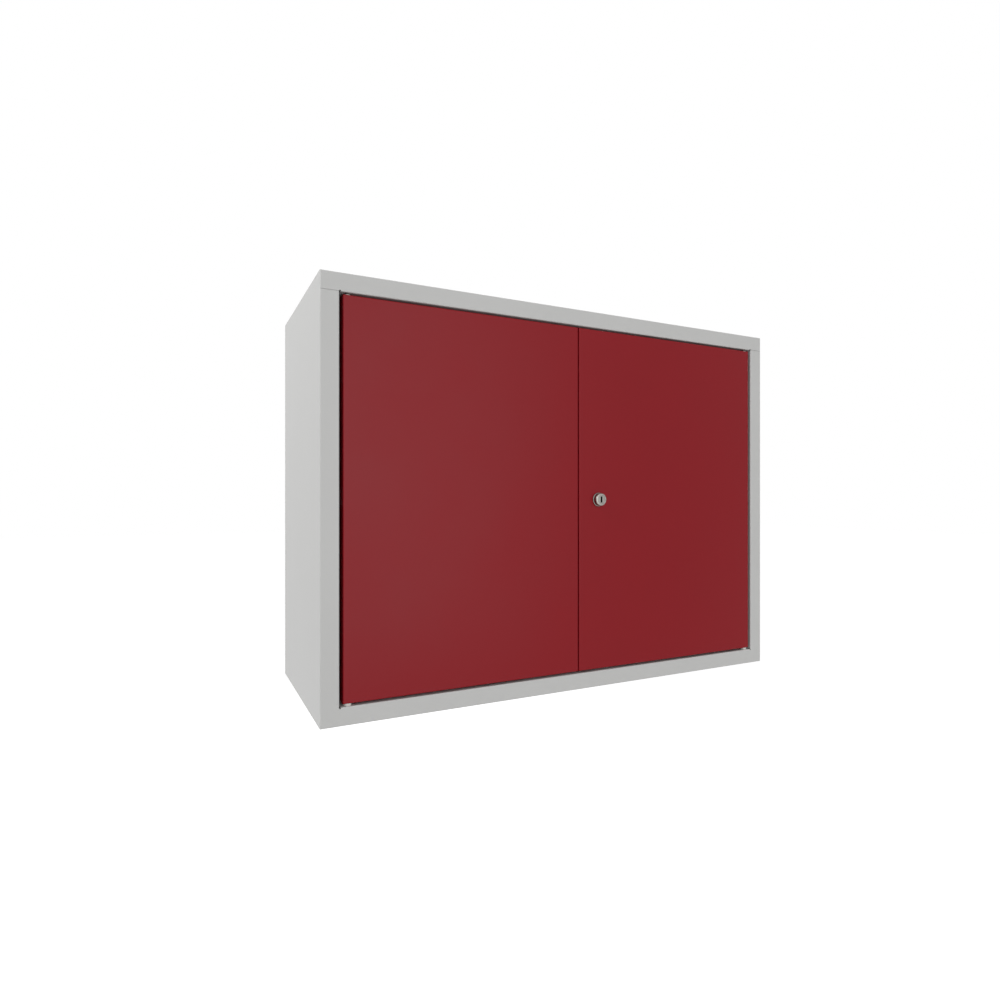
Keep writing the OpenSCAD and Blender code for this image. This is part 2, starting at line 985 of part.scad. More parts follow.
// Bolt drawn back into the door, with a hole for its knob
module bolt(door_end) {
    tip = bolt_d / 5;
    tip_z = door_end - bolt_set_back;
    color(ZINC)
        difference() {
            translate([bolt_x, bolt_y, 0])
                rotate_extrude()
                    polygon([
                        [0, tip_z - bolt_l],
                        [bolt_d / 2, tip_z - bolt_l],
                        [bolt_d / 2, tip_z - tip],
                        [bolt_d / 2 - tip, tip_z],
                        [0, tip_z]
                    ]);
            translate([bolt_x, bolt_y, knob_z(door_end)])
                rotate([-90, 0, 0])
                    cylinder(h = bolt_d, d = stem_d + 2 * seat_play);
        }
}

module bolt_knob(door_end) {
    crown = knob_d / 2;
    color(BLACK)
        translate([bolt_x, bolt_y, knob_z(door_end)])
            rotate([-90, 0, 0]) {
                cylinder(h = knob_y - bolt_y, d = stem_d);
                translate([0, 0, knob_y - bolt_y])
                    sphere(crown);
            }
}

module upper_bolt() {
    bolt(door_top);
}

module upper_bolt_knob() {
    bolt_knob(door_top);
}

module lower_bolt() {
    flip_z() bolt(-door_bottom);
}

module lower_bolt_knob() {
    flip_z() bolt_knob(-door_bottom);
}

top_panel();
bottom_panel();
left_side_panel();
right_side_panel();
back_panel();
wall_fixing_plates();
left_front_rail();
left_rear_rail();
right_front_rail();
right_rear_rail();
shelf();
shelf_clips();
upper_door_stops();
lower_door_stops();
door_buffers();
left_upper_hinge_pin();
left_lower_hinge_pin();
right_upper_hinge_pin();
right_lower_hinge_pin();
left_door();
left_door_stiffener();
left_hinge_plates();
left_upper_bush();
left_lower_bush();
upper_bolt_guide();
lower_bolt_guide();
bolt_guide_rivets();
right_door();
right_door_stiffener();
right_hinge_plates();
right_upper_bush();
right_lower_bush();
lock_housing();
lock_washer();
lock_nut();
lock_plug();
lock_cam();
lock_cam_screw();
upper_bolt();
upper_bolt_knob();
lower_bolt();
lower_bolt_knob();
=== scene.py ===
"""Wall cabinet of folded steel: its finishes, its small hardware and a plain studio around them."""

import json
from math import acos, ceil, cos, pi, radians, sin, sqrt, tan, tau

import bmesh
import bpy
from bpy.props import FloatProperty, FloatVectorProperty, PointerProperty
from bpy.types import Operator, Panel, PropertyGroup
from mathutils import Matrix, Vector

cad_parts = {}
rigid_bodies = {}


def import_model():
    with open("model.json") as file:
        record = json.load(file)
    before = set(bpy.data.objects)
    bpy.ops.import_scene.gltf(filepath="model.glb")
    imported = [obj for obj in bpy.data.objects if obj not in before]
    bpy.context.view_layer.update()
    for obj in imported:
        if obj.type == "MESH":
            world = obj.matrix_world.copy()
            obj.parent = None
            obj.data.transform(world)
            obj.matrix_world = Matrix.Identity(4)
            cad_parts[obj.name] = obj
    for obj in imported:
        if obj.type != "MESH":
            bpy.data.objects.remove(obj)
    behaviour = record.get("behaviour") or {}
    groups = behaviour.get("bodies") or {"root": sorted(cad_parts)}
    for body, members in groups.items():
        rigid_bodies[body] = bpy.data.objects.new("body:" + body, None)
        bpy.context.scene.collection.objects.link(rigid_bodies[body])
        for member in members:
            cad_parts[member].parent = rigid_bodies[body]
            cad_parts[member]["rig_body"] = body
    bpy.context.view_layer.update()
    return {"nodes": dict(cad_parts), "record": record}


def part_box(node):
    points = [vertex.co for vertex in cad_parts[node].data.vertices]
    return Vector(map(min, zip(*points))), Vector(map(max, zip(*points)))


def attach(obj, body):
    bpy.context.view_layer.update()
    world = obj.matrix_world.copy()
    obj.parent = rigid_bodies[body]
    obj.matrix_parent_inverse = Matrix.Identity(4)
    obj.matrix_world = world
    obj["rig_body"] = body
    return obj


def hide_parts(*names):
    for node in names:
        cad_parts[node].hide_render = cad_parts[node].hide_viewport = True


bl_info = {
    "name": "Wall cabinet",
    "version": (1, 0, 0),
    "blender": (4, 5, 0),
    "location": "View3D > Sidebar > Cabinet",
    "description": "Finishes a folded-steel wall cabinet and sets it in a plain studio",
    "category": "Object",
}

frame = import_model()
MM = 0.001

# Slots of the record and the nodes that each one holds
GREY, RED, ZINC, NICKEL = "grey_powder_coat", "red_powder_coat", "zinc_steel", "nickel"
NYLON, BLACK, RUBBER = "white_nylon", "black_plastic", "rubber"
SLOT_OF = {part["node"]: part["material_slot"] for part in frame["record"]["subparts"]}

# Bodies that the new pieces ride on
CARCASS, LEFT_LEAF, RIGHT_LEAF, LOCK = "carcass", "left_leaf", "right_leaf", "lock_cylinder"

# Places that the frame gives
DOOR_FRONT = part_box("right_door")[0].y
DOOR_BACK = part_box("right_door")[1].y
LOCK_LOW, LOCK_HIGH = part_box("lock_housing")
LOCK_X = (LOCK_LOW.x + LOCK_HIGH.x) / 2
LOCK_Z = (LOCK_LOW.z + LOCK_HIGH.z) / 2
# From a turned part's own axis to the lock's, which runs into the cabinet from the door's front
INTO_LOCK = Matrix.Translation((LOCK_X, DOOR_FRONT, LOCK_Z)) @ Matrix.Rotation(radians(-90), 4, "X")


def length(name, description, default):
    """A length that a user can change, in metres."""
    return FloatProperty(name=name, description=description, default=default, min=0, subtype="DISTANCE",
                         unit="LENGTH", precision=5)


def colour(name, description, default):
    """A linear colour that a user can change."""
    return FloatVectorProperty(name=name, description=description, default=default, size=3, min=0, max=1,
                               subtype="COLOR")


def share(name, description, default):
    """A number from 0 to 1 that a user can change."""
    return FloatProperty(name=name, description=description, default=default, min=0, max=1,
                         subtype="FACTOR")


def strength(name, description, default):
    """A number from 0 up that a user can change."""
    return FloatProperty(name=name, description=description, default=default, min=0)


class PaintSettings(PropertyGroup):
    """Powder coat on the body and the doors."""

    body: colour("Body colour", "Powder coat on the body, rails and shelf", (0.565, 0.565, 0.556))
    doors: colour("Door colour", "Powder coat on the doors", (0.236, 0.0024, 0.0072))
    gloss: share("Gloss", "Specular level of the powder coat", 0.198)
    roughness: share("Roughness", "Roughness of the powder coat", 0.38)
    peel: length("Orange peel", "Distance between the fine waves in the coat", 1.6 * MM)
    peel_depth: length("Peel depth", "Height of those waves", 0.012 * MM)
    cloud: length("Cloud size", "Size of the faint cloudy patches in the colour", 90 * MM)
    spread: share("Cloud spread", "How far those patches lighten and darken the colour", 0.035)
    dust: colour("Dust", "Colour of the dust that settles on flat tops", (0.5, 0.48, 0.45))
    dustiness: share("Dustiness", "Share of the coat that the dust hides at most", 0.05)


class MetalSettings(PropertyGroup):
    """Plated, moulded and rubber fittings."""

    zinc: colour("Zinc", "Colour of the zinc plate", (0.60, 0.615, 0.63))
    # Painted shade: dark colour for the hinge pins, in place of the shade in the hinge gaps
    painted_pin_shade: colour("Pin_shade", "Colour of the shade_painted hinge pins", (0.060, 0.050, 0.042))
    nickel: colour("Nickel", "Colour of the nickel plate", (0.36, 0.345, 0.32))
    # Painted shade: near-black colour painted into the keyway in place of its shade
    painted_keyway_shade: colour("Keyway_shade", "Colour of the painted_shade in the keyway", (0.012, 0.011, 0.010))
    plug: share("Plug tone", "Brightness of the plug's face, as a share of the nickel's", 0.72)
    head: share("Head tone", "Brightness of the lock's head, as a share of the nickel's", 0.82)
    # Painted shade: the flange is darkened in place of the shade around the head's foot
    flange: share("Flange tone", "Brightness of the lock's flange, as a share of the nickel's", 0.40)
    turning: length("Turning marks", "Distance between the lathe's marks on the nickel", 0.22 * MM)
    nylon: colour("Nylon", "Colour of the hinge bushes", (0.62, 0.61, 0.58))
    plastic: colour("Plastic", "Colour of the bolt knobs", (0.020, 0.020, 0.022))
    rubber: colour("Rubber", "Colour of the door buffers", (0.022, 0.022, 0.023))
    zinc_roughness: share("Zinc roughness", "Least roughness of the zinc plate", 0.26)
    nickel_roughness: share("Nickel roughness", "Least roughness of the nickel plate", 0.30)
    nylon_roughness: share("Nylon roughness", "Least roughness of the bushes", 0.38)
    plastic_roughness: share("Plastic roughness", "Least roughness of the knobs", 0.34)
    rubber_roughness: share("Rubber roughness", "Least roughness of the buffers", 0.72)
    edge: length("Edge radius", "Rounding on the cut edges of the fittings", 0.25 * MM)


class WeldSettings(PropertyGroup):
    """Spot welds that hold the rails, stiffeners and fixing plates."""

    diameter: length("Diameter", "Diameter of a weld mark", 5.5 * MM)
    height: length("Height", "Height of the rim around a weld mark", 0.18 * MM)
    pitch: length("Pitch", "Distance between welds along a seam", 75 * MM)
    end: length("End distance", "Distance from the first weld to the end of its seam", 20 * MM)
    sheet: length("Sheet", "Thickness of the rails and stiffeners", 1 * MM)
    rail_foot: length("Rail foot", "Distance from a rail's edge to its welds", 5 * MM)
    stiffener_foot: length("Stiffener foot", "Distance from a stiffener's edge to its welds", 5.5 * MM)
    plate: length("Plate", "Side of a fixing plate", 60 * MM)
    plate_edge: length("Plate edge", "Distance from a fixing plate's edge to its welds", 9 * MM)


class FittingSettings(PropertyGroup):
    """Rivets, knobs and buffers of the doors."""

    rivet_shank: length("Rivet shank", "Diameter of a rivet's shank", 3 * MM)
    rivet_head: length("Rivet head", "Diameter of a rivet's domed head", 6 * MM)
    rivet_dome: length("Rivet dome", "Height of a rivet's head and of its upset end", 1.5 * MM)
    rivet_upset: length("Rivet upset", "Diameter of a rivet's upset end", 4.5 * MM)
    mandrel: length("Mandrel", "Diameter of the hole that the mandrel leaves", 1.6 * MM)
    guide: length("Guide", "Thickness of the bolt guides", 1.5 * MM)
    lip: length("Lip", "Thickness of the door's lip under the guides", 1 * MM)
    knob_stem: length("Knob stem", "Diameter of a knob's stem", 4 * MM)
    knob_collar: length("Knob collar", "Diameter of the collar under a knob", 5.6 * MM)
    collar_height: length("Collar height", "Height of that collar", 0.8 * MM)
    buffer: length("Buffer", "Diameter of a door buffer", 10 * MM)
    dish: length("Buffer dish", "Depth of the dish in a buffer's face", 0.35 * MM)


class LockSettings(PropertyGroup):
    """Turned parts of the key lock."""

    barrel: length("Barrel diameter", "Diameter of the threaded barrel", 18 * MM)
    flats: length("Barrel flats", "Width of the barrel across its flats", 15.6 * MM)
    thread: length("Thread pitch", "Pitch of the barrel's thread", 1 * MM)
    thread_depth: length("Thread depth", "Depth of the barrel's thread", 0.45 * MM)
    head: length("Head diameter", "Diameter of the head in front of the door", 20 * MM)
    crown: length("Head rounding", "Radius around the head's face", 2 * MM)
    flange: length("Flange thickness", "Thickness of the flange around the head's foot", 1.2 * MM)
    bore: length("Bore", "Diameter of the bore that the plug turns in", 12.1 * MM)
    play: length("Play", "Gap around the plug", 0.05 * MM)
    clearance: length("Clearance", "Gap at the threads and behind the plug's rim", 0.1 * MM)
    rim: length("Rim thickness", "Thickness of the rim on the plug's face", 1.5 * MM)
    keyway: FloatVectorProperty(name="Keyway", description="Width, height and depth of the keyway",
                                size=3, subtype="XYZ_LENGTH", unit="LENGTH",
                                default=(2.6 * MM, 9 * MM, 18 * MM))
    square: length("Drive square", "Side of the square that turns the cam", 7 * MM)
    screw: length("Cam screw", "Diameter of the cam screw", 4 * MM)


class StageSettings(PropertyGroup):
    """Camera, lamps and floor."""

    camera: FloatVectorProperty(name="Camera", description="Place of the camera", size=3,
                                subtype="TRANSLATION", unit="LENGTH",
                                default=(-0.56425, -1.17438, -0.00076))
    turn: FloatProperty(name="Turn", description="How far the camera turns to its right",
                        subtype="ANGLE", default=radians(26.868))
    lens: FloatProperty(name="Lens", description="Focal length on a 36 mm sensor, in millimetres",
                        default=23.388, min=1)
    shift: FloatProperty(name="Shift", default=-0.0076,
                         description="Sideways shift of the lens, in widths of the picture")
    floor_drop: length("Floor drop", "Height of the cabinet's middle above the floor", 1.5)
    sky: strength("Sky", "Strength of the soft light from all sides", 0.38)
    side_lamp: strength("Side lamp", "Power of the lamp on the left, in watts", 55)
    front_lamp: strength("Front lamp", "Power of the lamp in front, in watts", 38.3)
    back_lamp: strength("Back lamp", "Power of the lamp behind on the right, in watts", 45)


# Node trees


class Term:
    """A value in a node tree; arithmetic on it adds Math nodes."""

    def __init__(self, nodes, socket):
        self.nodes = nodes
        self.socket = socket

    def __add__(self, other):
        return self.nodes.math("ADD", self, other)

    def __sub__(self, other):
        return self.nodes.math("SUBTRACT", self, other)

    def __rsub__(self, other):
        return self.nodes.math("SUBTRACT", other, self)

    def __mul__(self, other):
        return self.nodes.math("MULTIPLY", self, other)

    def __truediv__(self, other):
        return self.nodes.math("DIVIDE", self, other)

    def __rtruediv__(self, other):
        return self.nodes.math("DIVIDE", other, self)

    __radd__ = __add__
    __rmul__ = __mul__


class Nodes:
    """Adds nodes to one tree and hands back their outputs as terms."""

    def __init__(self, tree):
        self.tree = tree

    def node(self, kind, settings=None, inputs=None, output=0):
        """A node with its settings set first and then its sockets; a list makes several links."""
        made = self.tree.nodes.new(kind)
        for name, value in (settings or {}).items():
            setattr(made, name, value)
        for key, value in (inputs or {}).items():
            for term in value if isinstance(value, list) else [value]:
                if isinstance(term, Term):
                    self.tree.links.new(term.socket, made.inputs[key])
                else:
                    made.inputs[key].default_value = term
        return Term(self, made.outputs[output])

    def math(self, operation, *terms):
        return self.node("ShaderNodeMath", {"operation": operation}, dict(enumerate(terms)))

    def vector(self, operation, *terms, output="Vector"):
        sockets = dict(enumerate(terms))
        return self.node("ShaderNodeVectorMath", {"operation": operation}, sockets, output)

    def part(self, vector, axis):
        return self.node("ShaderNodeSeparateXYZ", inputs={0: vector}, output=axis)

    def link(self, term, socket):
        self.tree.links.new(term.socket, socket)


class Finish(Nodes):
    """A material under construction, around one Principled shader."""

    def __init__(self, name, **fixed):
        self.material = bpy.data.materials.new(name)
        self.material.use_nodes = True
        super().__init__(self.material.node_tree)
        self.shader = self.tree.nodes["Principled BSDF"]
        for socket, value in fixed.items():
            self.shader.inputs[socket.replace("_", " ")].default_value = value
        self.place = self.node("ShaderNodeTexCoord", output="Object")

    def feed(self, socket, term):
        self.link(term, self.shader.inputs[socket])

    def noise(self, size, detail=2.0, stretch=(1, 1, 1)):
        """Smooth noise whose patches are about as wide as size, stretched by the given factors."""
        place = self.place
        if stretch != (1, 1, 1):
            scale = tuple(1 / s for s in stretch)
            place = self.node("ShaderNodeMapping", inputs={"Vector": place, "Scale": scale})
        sockets = {"Vector": place, "Scale": 1 / size, "Detail": detail}
        return self.node("ShaderNodeTexNoise", inputs=sockets, output="Fac")

    def mix(self, first, second, factor):
        """Colour from first to second with the factor; 6, 7 and 2 are the node's sockets for colours."""
        sockets = {0: factor, 6: first, 7: second}
        return self.node("ShaderNodeMix", {"data_type": "RGBA"}, sockets, output=2)

    def ramp(self, term, low, high):
        """0 below low, 1 above high and smooth between them."""
        sockets = {"Value": term, "From Min": low, "From Max": high}
        return self.node("ShaderNodeMapRange", {"interpolation_type": "SMOOTHSTEP"}, sockets)

    def fade(self, term, low, high):
        """1 below low, 0 above high and smooth between them."""
        return 1 - self.ramp(term, low, high)

    def beyond(self, distance, edge):
        """0 up to an edge and 1 from a little past it."""
        return self.ramp(distance, edge + 0.1 * MM, edge + 0.4 * MM)

    def reach(self, offset, directions):
        """Length of an offset along those directions alone."""
        return self.vector("LENGTH", self.vector("MULTIPLY", offset, directions), output="Value")

    def bump(self, height, depth):
        sockets = {"Height": height, "Distance": depth, "Strength": 1.0}
        self.feed("Normal", self.node("ShaderNodeBump", inputs=sockets, output="Normal"))


def tinted(rgb, factor):
    """That colour, lighter or darker by a factor, with its alpha."""
    return tuple(min(1.0, channel * factor) for channel in rgb) + (1.0,)


def powder_coat(name, rgb, roughness):
    """Satin powder coat with fine orange peel, faint clouds in the colour and dust where it lies flat."""
    paint = bpy.context.scene.cabinet_paint
    coat = Finish(name, Specular_IOR_Level=paint.gloss)
    cloud = coat.noise(paint.cloud, detail=3)
    grain = coat.noise(paint.peel / 3, detail=1)
    dark, light = tinted(rgb, 1 - paint.spread), tinted(rgb, 1 + paint.spread)
    tone = coat.mix(dark, light, cloud * 0.7 + grain * 0.3)
    normal = coat.node("ShaderNodeNewGeometry", output="Normal")
    flat_top = coat.ramp(coat.part(normal, "Z"), 0.8, 1.0)
    dust = flat_top * coat.ramp(cloud, 0.35, 0.75) * paint.dustiness
    coat.feed("Base Color", coat.mix(tone, tinted(paint.dust, 1), dust))
    coat.feed("Roughness", roughness + (cloud - 0.5) * 0.10 + dust * 2)
    coat.bump(coat.noise(paint.peel, detail=1.5), paint.peel_depth)
    return coat.material


def zinc_plate(name, rgb, roughness):
    """Bright zinc plate with a faint cast of yellow and blue, a fine grain, and the hinge pins darkened as
    painted shade.
    """
    metal = bpy.context.scene.cabinet_metal
    plate = Finish(name, Metallic=1.0)
    cast = plate.noise(18 * MM, detail=3)
    grain = plate.noise(0.5 * MM, detail=2, stretch=(1, 1, 12))
    warm = (rgb[0] * 1.03, rgb[1] * 1.0, rgb[2] * 0.90)
    cool = (rgb[0] * 0.93, rgb[1] * 0.98, rgb[2] * 1.04)
    clean = plate.mix(tinted(cool, 1), tinted(warm, 1), plate.ramp(cast, 0.3, 0.7))
    # In absolute coordinates the left and right pins share one axis
    low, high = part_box("right_upper_hinge_pin")
    head_r = (high.x - low.x) / 2
    axis = ((low.x + high.x) / 2, -(low.y + high.y) / 2, 0)
    offset = plate.vector("SUBTRACT", plate.vector("ABSOLUTE", plate.place), axis)
    # Painted shade: the pins' colour is darkened in place of the shade in the hinge gaps
    painted_pin_shade = 1 - plate.beyond(plate.reach(offset, (1, 1, 0)), head_r)
    plate.feed("Base Color", plate.mix(clean, tinted(metal.painted_pin_shade, 1), painted_pin_shade * 0.95))
    plate.feed("Roughness", roughness + cast * 0.10 + grain * 0.12 + painted_pin_shade * 0.2)
    plate.bump(grain, 0.004 * MM)
    return plate.material


def keyway_shade_mask(plate, offset, depth, outside):
    """Painted shade: 1 inside the lock's keyway and a little less around its mouth, for a depth behind the
    plug's face.
    """
    width, height, end = bpy.context.scene.cabinet_lock.keyway
    half_w, half_h = width / 2, height / 2
    near = plate.fade(plate.reach(offset, (1, 0, 1)), half_h + 0.7 * MM, half_h + 1.1 * MM)
    slot = near * plate.ramp(depth, 0.02 * MM, 0.5 * MM) * plate.fade(depth, end, end + 1 * MM)
    either_side = plate.vector("ABSOLUTE", offset)
    across = plate.fade(plate.part(either_side, "X"), half_w, half_w + 0.8 * MM)
    along = plate.fade(plate.part(either_side, "Z"), half_h + 0.2 * MM, half_h + 1 * MM)
    mouth = near * across * along * outside * 0.85
    return plate.math("MAXIMUM", slot, mouth)


def nickel_plate(name, rgb, roughness):
    """Satin nickel with fine turning marks around the lock's axis, a flange darkened as painted shade and a
    keyway painted dark as shade.
    """
    metal = bpy.context.scene.cabinet_metal
    plate = Finish(name, Metallic=1.0)
    offset = plate.vector("SUBTRACT", plate.place, (LOCK_X, DOOR_FRONT, LOCK_Z))
    radius = plate.reach(offset, (1, 0, 1))
    inward = plate.part(offset, "Y")
    outside = plate.fade(inward, 0, 0.2 * MM)
    haze = plate.noise(2.5 * MM, detail=3)
    low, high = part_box("lock_plug")
    rim_r = (high.x - low.x) / 2
    head_r = bpy.context.scene.cabinet_lock.head / 2
    plug = plate.mix(tinted(rgb, metal.plug - 0.03), tinted(rgb, metal.plug + 0.03), haze)
    head = plate.mix(plug, tinted(rgb, metal.head), plate.ramp(radius, rim_r - 0.1 * MM, rim_r))
    # Painted shade: darker colour on the flange in place of its shade
    flange = outside * plate.beyond(radius, head_r)
    tone = plate.mix(head, tinted(rgb, metal.flange), flange)
    # Painted shade: the keyway and its mouth are painted dark in place of their shade
    keyway = keyway_shade_mask(plate, offset, inward - (low.y - DOOR_FRONT), outside)
    plate.feed("Base Color", plate.mix(tone, tinted(metal.painted_keyway_shade, 1), keyway))
    plate.feed("Roughness", roughness + haze * 0.10 + keyway * 0.3)
    plate.bump(plate.math("SINE", radius * (tau / metal.turning)), 0.0012 * MM)
    return plate.material


def nylon(name, rgb, roughness):
    """Natural nylon with a faint waxy mottle."""
    moulding = Finish(name, Subsurface_Weight=0.08, Subsurface_Scale=1 * MM)
    mottle = moulding.noise(3 * MM, detail=3)
    dark, light = tinted(rgb, 0.94), tinted(rgb, 1.03)
    moulding.feed("Base Color", moulding.mix(dark, light, mottle))
    moulding.feed("Roughness", roughness + mottle * 0.15)
    moulding.bump(moulding.noise(0.4 * MM), 0.006 * MM)
    return moulding.material


def black_plastic(name, rgb, roughness):
    """Moulded plastic with the fine grain of an eroded tool."""
    moulding = Finish(name)
    grain = moulding.noise(0.35 * MM, detail=1)
    dark, light = tinted(rgb, 0.8), tinted(rgb, 1.5)
    moulding.feed("Base Color", moulding.mix(dark, light, moulding.noise(4 * MM)))
    moulding.feed("Roughness", roughness + grain * 0.16)
    moulding.bump(grain, 0.010 * MM)
    return moulding.material


def soft_rubber(name, rgb, roughness):
    """Matt rubber with a fine skin and a little bloom."""
    skin = Finish(name, Specular_IOR_Level=0.3)
    bloom = skin.noise(5 * MM, detail=4)
    dark, light = tinted(rgb, 0.9), tinted(rgb, 2.0)
    skin.feed("Base Color", skin.mix(dark, light, skin.ramp(bloom, 0.45, 0.8)))
    skin.feed("Roughness", roughness + bloom * 0.2)
    skin.bump(skin.noise(0.3 * MM), 0.012 * MM)
    return skin.material


def finish(slot):
    """The material of a slot, made when it is first asked for."""
    made = bpy.data.materials.get(f"{slot}_finish")
    if made:
        return made
    paint, metal = bpy.context.scene.cabinet_paint, bpy.context.scene.cabinet_metal
    makers = {
        GREY: (powder_coat, paint.body, paint.roughness),
        RED: (powder_coat, paint.doors, paint.roughness),
        ZINC: (zinc_plate, metal.zinc, metal.zinc_roughness),
        NICKEL: (nickel_plate, metal.nickel, metal.nickel_roughness),
        NYLON: (nylon, metal.nylon, metal.nylon_roughness),
        BLACK: (black_plastic, metal.plastic, metal.plastic_roughness),
        RUBBER: (soft_rubber, metal.rubber, metal.rubber_roughness),
    }
    maker, rgb, roughness = makers[slot]
    return maker(f"{slot}_finish", tuple(rgb), roughness)


# Meshes

# Faces within the first angle are one flat face; past the others an edge is shaded sharp, or rounded
FLAT_ANGLE, SHARP_ANGLE, ROUNDED_ANGLE = radians(0.5), radians(32), radians(40)


def body_of(node):
    return frame["nodes"][node]["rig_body"]


def coat_nodes(*slots):
    """Gives every solid of those slots its finish."""
    for node, slot in SLOT_OF.items():
        if slot in slots:
            frame["nodes"][node].data.materials[0] = finish(slot)


def add_piece(name, mesh, body, slot, *stands_for):
    """Adds a finished mesh that rides on a body, in place of the solids that it stands for."""
    mesh.materials.clear()
    mesh.materials.append(finish(slot))
    mesh.shade_smooth()
    mesh.set_sharp_from_angle(angle=SHARP_ANGLE)
    thing = bpy.data.objects.new(name, mesh)
    bpy.context.scene.collection.objects.link(thing)
    # Flat faces stay flat beside rounded edges
    normals = thing.modifiers.new("normals", "WEIGHTED_NORMAL")
    normals.keep_sharp = True
    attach(thing, body)
    if stands_for:
        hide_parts(*stands_for)
    return thing


def mesh_from(bm, name):
    """Closes the bmesh into a mesh of that name."""
    mesh = bpy.data.meshes.new(name)
    bm.to_mesh(mesh)
    bm.free()
    return mesh


def softened(node, radius):
    """Copy of a solid whose sharp edges are rounded, as on a tumbled or plated part."""
    bm = bmesh.new()
    bm.from_mesh(frame["nodes"][node].data)
    bmesh.ops.remove_doubles(bm, verts=bm.verts, dist=0.001 * MM)
    bmesh.ops.dissolve_limit(bm, angle_limit=FLAT_ANGLE, verts=bm.verts, edges=bm.edges)
    sharp = [edge for edge in bm.edges if edge.is_manifold and edge.calc_face_angle() > ROUNDED_ANGLE]
    bmesh.ops.bevel(bm, geom=sharp, offset=radius, segments=2, profile=0.5, affect="EDGES",
                    clamp_overlap=True)
    return mesh_from(bm, node)


def filleted(corners, steps=5):
    """Outline of (x, y) points from (x, y, radius) corners, with an arc wherever the radius isn't 0."""
    points = []
    for i, (x, y, radius) in enumerate(corners):
        corner = Vector((x, y))
        if radius == 0:
            points.append((x, y))
            continue
        before = (Vector(corners[i - 1][:2]) - corner).normalized()
        after = (Vector(corners[(i + 1) % len(corners)][:2]) - corner).normalized()
        half = acos(max(-1.0, min(1.0, before.dot(after)))) / 2
        middle = corner + (before + after).normalized() * (radius / sin(half))
        first = corner + before * (radius / tan(half)) - middle
        sweep = first.angle_signed(corner + after * (radius / tan(half)) - middle)
        for step in range(steps + 1):
            arm = first.copy()
            arm.rotate(Matrix.Rotation(-sweep * step / steps, 2))
            points.append(tuple(middle + arm))
    return points


def turned(name, outline, steps=48, form=None):
    """Mesh turned about Z from a closed outline of (radius, height) points; form can reshape its rings."""
    bm = bmesh.new()
    rings = []
    for radius, height in outline:
        if radius == 0:
            rings.append([bm.verts.new((0, 0, height))])
            continue
        ring = []
        for step in range(steps):
            angle = tau * step / steps
            x, y = form(radius, angle, height) if form else (radius * cos(angle), radius * sin(angle))
            ring.append(bm.verts.new((x, y, height)))
        rings.append(ring)
    for ring, following in zip(rings, rings[1:] + rings[:1]):
        if len(ring) == len(following) == 1:
            continue
        for i in range(steps):
            j = (i + 1) % steps
            corners = (ring[i % len(ring)], following[i % len(following)],
                       following[j % len(following)], ring[j % len(ring)])
            bm.faces.new(list(dict.fromkeys(corners)))
    bmesh.ops.recalc_face_normals(bm, faces=bm.faces)
    return mesh_from(bm, name)


def block(low, high):
    """Box mesh between two corners."""
    bm = bmesh.new()
    size = Vector(high) - Vector(low)
    place = Matrix.Translation((Vector(low) + Vector(high)) / 2) @ Matrix.Diagonal(size).to_4x4()
    bmesh.ops.create_cube(bm, size=1, matrix=place)
    return mesh_from(bm, "cutter")


def carved(mesh, *cutters):
    """The mesh with those shapes cut out of it."""
    target = bpy.data.objects.new("carved", mesh)
    bpy.context.scene.collection.objects.link(target)
    helpers = [target]
    for cutter in cutters:
        helper = bpy.data.objects.new("cutter", cutter)
        bpy.context.scene.collection.objects.link(helper)
        helpers.append(helper)
        cut = target.modifiers.new("cut", "BOOLEAN")
        cut.operation = "DIFFERENCE"
        cut.solver = "EXACT"
        cut.object = helper
    result = evaluated_mesh(target, mesh.name)
    for helper in helpers:
        bpy.data.objects.remove(helper)
    return result


def evaluated_mesh(thing, name):
    """Plain mesh of an object with its modifiers applied."""
    graph = bpy.context.evaluated_depsgraph_get()
    mesh = bpy.data.meshes.new_from_object(thing.evaluated_get(graph))
    mesh.name = name
    return mesh


# Geometry Nodes


def facing_rotation(nodes):
    """Rotation that turns an instance's Z axis to the facing stored on its point."""
    facing = nodes.node("GeometryNodeInputNamedAttribute", {"data_type": "FLOAT_VECTOR"},
                        {"Name": "facing"})
    return nodes.node("FunctionNodeAlignRotationToVector", {"axis": "Z"}, {"Vector": facing})


def instance_tree(name, sizes, shape):
    """Tree that sets one shape on each point; sizes maps input names to socket types."""
    tree = bpy.data.node_groups.new(name, "GeometryNodeTree")
    tree.interface.new_socket("Points", in_out="INPUT", socket_type="NodeSocketGeometry")
    tree.interface.new_socket("Material", in_out="INPUT", socket_type="NodeSocketMaterial")
    for label, kind in sizes.items():
        tree.interface.new_socket(label, in_out="INPUT", socket_type=kind)
    tree.interface.new_socket("Pieces", in_out="OUTPUT", socket_type="NodeSocketGeometry")
    nodes = Nodes(tree)
    labels = ("Points", "Material", *sizes)
    given = {label: nodes.node("NodeGroupInput", output=label) for label in labels}
    placed = nodes.node("GeometryNodeInstanceOnPoints", inputs={
        "Points": given["Points"], "Instance": shape(nodes, given), "Rotation": facing_rotation(nodes)})
    real = nodes.node("GeometryNodeRealizeInstances", inputs={"Geometry": placed})
    done = nodes.node("GeometryNodeSetMaterial", inputs={
        "Geometry": real, "Material": given["Material"]})
    nodes.link(done, tree.nodes.new("NodeGroupOutput").inputs["Pieces"])
    return tree


